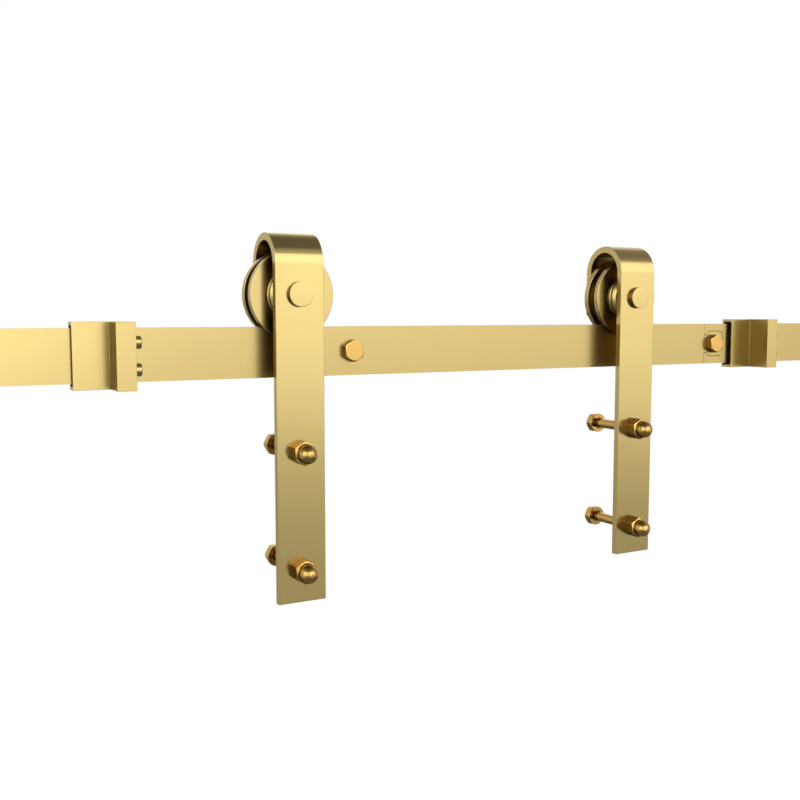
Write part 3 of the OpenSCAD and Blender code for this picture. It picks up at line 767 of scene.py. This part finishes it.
for side in SIDES:
    rings_steel = metal_finish("bearing_steel_" + side, (0.70, 0.71, 0.73), 0.12, drift=0.02,
                               wipes=0.05, turned_about=tuple(axle[side]), ring_depth=0.004)
    outer, inner, balls, cages, shields = [bmesh.new() for i in range(5)]
    lo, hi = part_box("bearing_outers_" + side)
    for seat_y in (lo.y + WIDTH_HALF * mm, hi.y - WIDTH_HALF * mm):
        seat = Vector((axle[side].x, seat_y, axle[side].z))
        corner = WIDTH_HALF - RING_CORNER
        spin_profile(outer, [(BEARING_R - RING_CORNER, -WIDTH_HALF), (BEARING_R, -corner),
                             (BEARING_R, corner), (BEARING_R - RING_CORNER, WIDTH_HALF),
                             (PITCH_R + RING_EDGE, WIDTH_HALF)]
                     + [(PITCH_R + r, -d) for r, d in track]
                     + [(PITCH_R + RING_EDGE, -WIDTH_HALF)], seat, 72, closed=True)
        spin_profile(inner, [(BORE_R, -corner), (BORE_R + RING_CORNER, -WIDTH_HALF),
                             (PITCH_R - RING_EDGE, -WIDTH_HALF)]
                     + [(PITCH_R - r, d) for r, d in track]
                     + [(PITCH_R - RING_EDGE, WIDTH_HALF), (BORE_R + RING_CORNER, WIDTH_HALF),
                        (BORE_R, corner)], seat, 72, closed=True)
        ribbon = bmesh.new()
        spin_profile(ribbon, [(PITCH_R - CAGE_T, -CAGE_HALF), (PITCH_R + CAGE_T, -CAGE_HALF),
                              (PITCH_R + CAGE_T, CAGE_HALF), (PITCH_R - CAGE_T, CAGE_HALF)],
                     seat, 96, closed=True)
        windows = bmesh.new()
        for i in range(BALLS):
            turn = math.tau * i / BALLS
            away = Vector((math.cos(turn), 0, -math.sin(turn)))
            bmesh.ops.create_uvsphere(balls, u_segments=24, v_segments=16, radius=BALL_R * mm,
                                      matrix=Matrix.Translation(seat + away * PITCH_R * mm))
            rod(windows, TRACK_R * mm, seat + away * 7 * mm, seat + away * 12 * mm, 24)
        cut_ribbon = combine(ribbon, windows, "DIFFERENCE")
        piece_mesh = bpy.data.meshes.new("ribbon")
        cut_ribbon.to_mesh(piece_mesh)
        cut_ribbon.free()
        cages.from_mesh(piece_mesh)
        bpy.data.meshes.remove(piece_mesh)
        for way in (-1, 1):
            face = way * corner
            inside = way * (corner - SHIELD_T)
            step = way * SHIELD_STEP
            spin_profile(shields, [(SHIELD_IN_R, face), (SHIELD_STEP_R, face),
                                   (SHIELD_STEP_R + 0.4, face - step),
                                   (SHIELD_OUT_R, face - step), (SHIELD_OUT_R, inside - step),
                                   (SHIELD_STEP_R + 0.3, inside - step),
                                   (SHIELD_STEP_R - 0.1, inside), (SHIELD_IN_R, inside)],
                         seat, 72, closed=True)
    for bm, name, material, slot, body in (
            (outer, "bearing_outers", rings_steel, "bearing_steel", "wheel_"),
            (inner, "bearing_inners", rings_steel, "bearing_steel", "hanger_"),
            (balls, "bearing_balls", rings_steel, "bearing_steel", "ball_set_"),
            (cages, "bearing_cages", cage_brass, "cage_brass", "ball_set_"),
            (shields, "bearing_shields", zinc, "zinc_steel", "wheel_")):
        finish(bm, name + "_piece_" + side, body + side, [name + "_" + side], material,
               sharp=30)

# ----------------------------------------------------------------- axles
# A turned bolt with a flat round head, coated like the strap; its threaded
# end takes a nut behind the short leg. A zinc sleeve and thick washers keep
# the bearings apart.
AXLE_R = 5.0
AXLE_HEAD_R = 9.8
AXLE_HEAD_EDGE = 0.5
AXLE_THREAD_LEN = 13.0
AXLE_THREAD_DEPTH = 0.6
FINE_PITCH = 1.5
NUT_AF = 16.0
NUT_CLEAR = 0.02
NUT_LEAD_IN = 0.5
SLEEVE_R = 7.5
SLEEVES_LEN = 30.0
for side in SIDES:
    centre = (axle[side].x, 0.0, axle[side].z)
    lo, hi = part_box("axle_bolt_" + side)
    strap_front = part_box("strap_" + side)[0].y / mm
    head_y, end_y = lo.y / mm, hi.y / mm
    axle_coat = metal_finish("axle_coat_" + side, GOLD, 0.18, drift=0.04,
                             turned_about=tuple(axle[side]), ring_depth=0.006)
    bolt = bmesh.new()
    core_r = AXLE_R - AXLE_THREAD_DEPTH
    thread_y = end_y - AXLE_THREAD_LEN
    spin_profile(bolt, [(0, head_y), (AXLE_HEAD_R - AXLE_HEAD_EDGE, head_y),
                        (AXLE_HEAD_R - 0.12, head_y + 0.12),
                        (AXLE_HEAD_R, head_y + AXLE_HEAD_EDGE),
                        (AXLE_HEAD_R, strap_front - EDGE_BREAK),
                        (AXLE_HEAD_R - EDGE_BREAK, strap_front), (AXLE_R, strap_front),
                        (AXLE_R, thread_y), (core_r, thread_y + AXLE_THREAD_DEPTH),
                        (core_r, end_y - AXLE_THREAD_DEPTH),
                        (core_r - AXLE_THREAD_DEPTH, end_y), (0, end_y)], centre, 72)
    thread(bolt, core_r - 0.05, AXLE_R - 0.02, thread_y + 0.5, end_y - AXLE_THREAD_DEPTH,
           FINE_PITCH, centre)
    finish(bolt, "axle_bolt_piece_" + side, "hanger_" + side, ["axle_bolt_" + side],
           axle_coat, sharp=30)

    lo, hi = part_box("axle_sleeve_" + side)
    sleeve = bmesh.new()
    spin_profile(sleeve, [(BORE_R, lo.y / mm), (SLEEVE_R, lo.y / mm), (SLEEVE_R, hi.y / mm),
                          (BORE_R, hi.y / mm)], centre, 64, closed=True)
    finish(sleeve, "axle_sleeve_piece_" + side, "hanger_" + side, ["axle_sleeve_" + side],
           zinc, ease=0.3)

    lo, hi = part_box("axle_washers_" + side)
    thick = (hi.y - lo.y - SLEEVES_LEN * mm) / 2 / mm
    washers = bmesh.new()
    for start in (lo.y / mm, hi.y / mm - thick):
        spin_profile(washers, [(BORE_R, start), (SLEEVE_R, start), (SLEEVE_R, start + thick),
                               (BORE_R, start + thick)], centre, 64, closed=True)
    finish(washers, "axle_washers_piece_" + side, "hanger_" + side, ["axle_washers_" + side],
           zinc, ease=0.3)

    lo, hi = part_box("axle_nut_" + side)
    face_r = NUT_AF / 2 * TURNED_FACE
    start, end = lo.y / mm, hi.y / mm
    outline = hexagon(NUT_AF, math.pi / 2)
    nut = bmesh.new()
    loft(nut, [at_depth(round_points(AXLE_R + NUT_CLEAR), start + NUT_LEAD_IN, centre),
               at_depth(round_points(AXLE_R + NUT_LEAD_IN), start, centre),
               at_depth(hexagon(NUT_AF, math.pi / 2, EDGE_BREAK), start, centre),
               at_depth(outline, start + EDGE_BREAK, centre),
               chamfered(outline, end - 0.05, 1, face_r, centre),
               at_depth(round_points(face_r - EDGE_BREAK), end, centre),
               at_depth(round_points(AXLE_R + NUT_LEAD_IN), end, centre),
               at_depth(round_points(AXLE_R + NUT_CLEAR), end - NUT_LEAD_IN, centre)],
         ring_shut=True)
    finish(nut, "axle_nut_piece_" + side, "hanger_" + side, ["axle_nut_" + side],
           axle_coat, ease=0.12)

# ------------------------------------------------------------ door bolts
# Copper-gold plated hexagon bolts with flat washers under their heads. They
# pass through the door from behind; a rolled shank shows where it is free.
HEAD_AF = 16.6
SHANK_R = 4.5
THREAD_CORE_R = 4.3
THREAD_CREST_R = 4.95
WASHER_HOLE_R = 5.4
for side in SIDES:
    x = axle[side].x
    lo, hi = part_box("door_bolts_" + side)
    washer_lo, washer_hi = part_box("door_washers_" + side)
    washer_r = (washer_hi.x - washer_lo.x) / 2 / mm
    inner_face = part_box("strap_" + side)[0].y / mm + STRAP_T
    head_start, tip = washer_hi.y / mm, lo.y / mm
    bolts, washers = bmesh.new(), bmesh.new()
    for z in bolt_heights(side):
        centre = (x, 0.0, z)
        hex_head(bolts, HEAD_AF, hi.y / mm, head_start, centre, math.pi / 2)
        spin_profile(bolts, [(0, tip), (THREAD_CORE_R - 1, tip), (THREAD_CORE_R, tip + 1),
                             (THREAD_CORE_R, inner_face + 0.5), (SHANK_R, inner_face + 1.5),
                             (SHANK_R, head_start + 1), (0, head_start + 1)], centre, 48)
        thread(bolts, THREAD_CORE_R - 0.05, THREAD_CREST_R, tip + 0.8, inner_face + 0.6,
               FINE_PITCH, centre)
        spin_profile(washers, [(WASHER_HOLE_R, washer_lo.y / mm), (washer_r, washer_lo.y / mm),
                               (washer_r, head_start), (WASHER_HOLE_R, head_start)],
                     centre, 64, closed=True)
    finish(bolts, "door_bolts_piece_" + side, "hanger_" + side, ["door_bolts_" + side],
           plated, ease=0.12)
    finish(washers, "door_washers_piece_" + side, "hanger_" + side, ["door_washers_" + side],
           plated, ease=0.25)

# ------------------------------------------------------------ acorn nuts
# Cold-formed cap nuts, plated like the bolts: a chamfered hexagon that runs
# into a smooth dome over a blind threaded hole.
ACORN_AF = 17.0
ACORN_HEX_H = 9.0
ACORN_HOLE_R = 5.0
ACORN_HOLE_DEPTH = 12.0
ACORN_LEAD_IN = 0.6
DOME_R = 7.5
DOME_STEPS = 12
for side in SIDES:
    lo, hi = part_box("acorn_nuts_" + side)
    back, tip = hi.y / mm, lo.y / mm
    nuts = bmesh.new()
    for z in bolt_heights(side):
        centre = (axle[side].x, 0.0, z)
        outline = hexagon(ACORN_AF, 0.0)
        face = back - ACORN_HEX_H
        face_r = ACORN_AF / 2 * TURNED_FACE
        dome_y = tip + DOME_R
        sections = [at_depth(round_points(ACORN_HOLE_R), back - ACORN_HOLE_DEPTH, centre),
                    at_depth(round_points(ACORN_HOLE_R), back - ACORN_LEAD_IN, centre),
                    at_depth(round_points(ACORN_HOLE_R + ACORN_LEAD_IN), back, centre),
                    at_depth(hexagon(ACORN_AF, 0.0, EDGE_BREAK), back, centre),
                    at_depth(outline, back - EDGE_BREAK, centre),
                    chamfered(outline, face + 0.05, -1, face_r, centre),
                    at_depth(round_points(face_r - 0.25), face, centre),
                    at_depth(round_points(DOME_R + 0.35), face, centre),
                    at_depth(round_points(DOME_R), face - 0.4, centre)]
        for i in range(DOME_STEPS):
            turn = math.pi / 2 * i / DOME_STEPS
            sections.append(at_depth(round_points(DOME_R * math.cos(turn)),
                                     dome_y - DOME_R * math.sin(turn), centre))
        loft(nuts, sections)
    finish(nuts, "acorn_nuts_piece_" + side, "hanger_" + side, ["acorn_nuts_" + side],
           plated, ease=0.1, sharp=28)

# ------------------------------------------------------------- end stops
# Folded and welded steel sleeves that clip round the bar, each with a solid wing, coated like the
# bar. Black rubber pads the inside of the front wall; its near-black also stands as painted shade
# in the gap between that wall and the bar. Two turned studs meet the strap, and two socket set
# screws clamp the sleeve.
PLATE_LEN = 26.0
FLANGE = 2.6
FRONT_T = 1.2
BACK_GAP = 0.3
LIP = 16.0
STUD_R = 4.75
STUD_ROUND = 0.8
STUD_STEPS = 4
CLAMP_R = 2.5
CLAMP_HOLE = 4.0
OVERLAP = 1.0
BEYOND = 10.0
RIBS = 8
RIB_DEPTH = 0.5
KEY_AF = 2.5
KEY_FLOOR = 1.9
CLAMP_CORE_R = 2.2
CLAMP_CREST_R = 2.45
CLAMP_PITCH = 0.8
STOP_GOLD = (0.91, 0.69, 0.27)
stop_coat = metal_finish("stop_coat", STOP_GOLD, 0.24, drift=0.06)
# Near-black rubber: a real pad whose black also paints the shade in the sleeve's gap
gap_shade_rubber = bpy.data.materials.new("liner_rubber")
gap_shade_rubber.use_nodes = True
gap_shade_rubber_shader = gap_shade_rubber.node_tree.nodes["Principled BSDF"]
gap_shade_rubber_skin = use_group(gap_shade_rubber, powder_coat, Color=(0.016, 0.013, 0.010, 1), Roughness=0.75,
                        Tone_Drift=0.5, Peel_Scale=1600.0, Wipe_Marks=0.25)
gap_shade_rubber.node_tree.links.new(gap_shade_rubber_skin.outputs["Color"], gap_shade_rubber_shader.inputs["Base Color"])
gap_shade_rubber.node_tree.links.new(gap_shade_rubber_skin.outputs["Roughness"], gap_shade_rubber_shader.inputs["Roughness"])
add_bump(gap_shade_rubber, gap_shade_rubber_skin.outputs["Height"], 0.05 * mm, 0.5)
black_steel = metal_finish("black_oxide_steel", (0.05, 0.05, 0.055), 0.35, drift=0.3, wipes=0.2)
rail_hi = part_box("rail_left")[1]


def at_height(points, height, centre):
    """Places (x, y) points in mm at a height in mm, round an upright axis."""
    return [(centre[0] + u * mm, centre[1] + v * mm, height * mm) for u, v in points]


for side in SIDES:
    lo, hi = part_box("stop_body_" + side)
    liner_lo, liner_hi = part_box("stop_liner_" + side)
    stud_lo, stud_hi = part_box("bumper_studs_" + side)
    clamp_lo, clamp_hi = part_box("clamp_screws_" + side)
    plate_front = liner_lo.y - FRONT_T * mm
    wing_x = lo.x + PLATE_LEN * mm
    body = bmesh.new()
    block(body, (lo.x, plate_front, lo.z), (hi.x, hi.y, hi.z))
    wing = bmesh.new()
    block(wing, (wing_x, lo.y, lo.z), (hi.x, plate_front + OVERLAP * mm, hi.z))
    body = combine(body, wing, "UNION")
    hollow = bmesh.new()
    inner_back = rail_hi.y + BACK_GAP * mm
    near, far = lo.x - BEYOND * mm, hi.x + BEYOND * mm
    block(hollow, (near, liner_lo.y, lo.z + FLANGE * mm), (far, inner_back, hi.z - FLANGE * mm))
    body = combine(body, hollow, "DIFFERENCE")
    slot_tool = bmesh.new()
    block(slot_tool, (near, inner_back - OVERLAP * mm, lo.z + (FLANGE + LIP) * mm),
          (far, hi.y + BEYOND * mm, hi.z - (FLANGE + LIP) * mm))
    stud_y = (stud_lo.y + stud_hi.y) / 2
    stud_zs = (stud_lo.z + STUD_R * mm, stud_hi.z - STUD_R * mm)
    clamp_y = (clamp_lo.y + clamp_hi.y) / 2
    clamp_xs = (clamp_lo.x + CLAMP_R * mm, clamp_hi.x - CLAMP_R * mm)
    for z in stud_zs:
        rod(slot_tool, CLAMP_R * mm, (stud_lo.x, stud_y, z),
            (hi.x + OVERRUN * mm, stud_y, z), 32)
    for x in clamp_xs:
        rod(slot_tool, CLAMP_R * mm, (x, clamp_y, hi.z - CLAMP_HOLE * mm),
            (x, clamp_y, hi.z + OVERRUN * mm), 32)
    body = combine(body, slot_tool, "DIFFERENCE")
    finish(body, "stop_sleeve_" + side, "stop_" + side, ["stop_body_" + side],
           stop_coat, ease=0.35)

    # the pad is ribbed where it touches the bar
    rib_pitch = (liner_hi.z - liner_lo.z) / RIBS
    valley_y = liner_hi.y - RIB_DEPTH * mm
    comb = [(liner_lo.y, liner_lo.z), (liner_lo.y, liner_hi.z)]
    for i in range(RIBS, 0, -1):
        top = liner_lo.z + rib_pitch * i
        comb += [(liner_hi.y, top - rib_pitch * 0.15), (liner_hi.y, top - rib_pitch * 0.85)]
        if i > 1:
            comb += [(valley_y, top - rib_pitch * 0.9), (valley_y, top - rib_pitch * 1.1)]
    pad = bmesh.new()
    extrude_outline(pad, [(liner_lo.x, y, z) for y, z in comb], (liner_hi.x - liner_lo.x, 0, 0))
    finish(pad, "stop_pad_gap_shade_" + side, "stop_" + side, ["stop_liner_" + side],
           gap_shade_rubber, ease=0.15)

    studs = bmesh.new()
    out = (stud_hi.x - hi.x) / mm
    depth = (hi.x - stud_lo.x) / mm
    for z in stud_zs:
        turns = [math.pi / 2 * (STUD_STEPS - i) / STUD_STEPS for i in range(STUD_STEPS + 1)]
        rounding = [(STUD_R - STUD_ROUND + STUD_ROUND * math.sin(t),
                     out - STUD_ROUND + STUD_ROUND * math.cos(t)) for t in turns]
        spin_profile(studs, [(0, -depth), (CLAMP_R - EDGE_BREAK, -depth),
                             (CLAMP_R, EDGE_BREAK - depth), (CLAMP_R, 0),
                             (STUD_R - EDGE_BREAK, 0), (STUD_R, EDGE_BREAK)] + rounding
                     + [(0, out)], (hi.x, stud_y, z), 48, axis="X")
    finish(studs, "bumper_studs_piece_" + side, "stop_" + side, ["bumper_studs_" + side],
           stop_coat, sharp=30)

    clamps = bmesh.new()
    low, high = clamp_lo.z / mm, clamp_hi.z / mm
    for x in clamp_xs:
        centre = (x, clamp_y, 0.0)
        key = hexagon(KEY_AF, 0, per_side=6)
        loft(clamps, [at_height(key, low + KEY_FLOOR, centre), at_height(key, high, centre),
                      at_height(round_points(1.7, 36), high, centre),
                      at_height(round_points(CLAMP_CORE_R, 36), high - 0.4, centre),
                      at_height(round_points(CLAMP_CORE_R, 36), low + 0.5, centre),
                      at_height(round_points(1.5, 36), low, centre),
                      at_height(round_points(0.9, 36), low + 0.3, centre)])
        thread(clamps, CLAMP_CORE_R - 0.05, CLAMP_CREST_R, low + 0.6, high - 0.5, CLAMP_PITCH,
               centre, axis="Z")
    finish(clamps, "clamp_screws_piece_" + side, "stop_" + side, ["clamp_screws_" + side],
           black_steel, sharp=30)
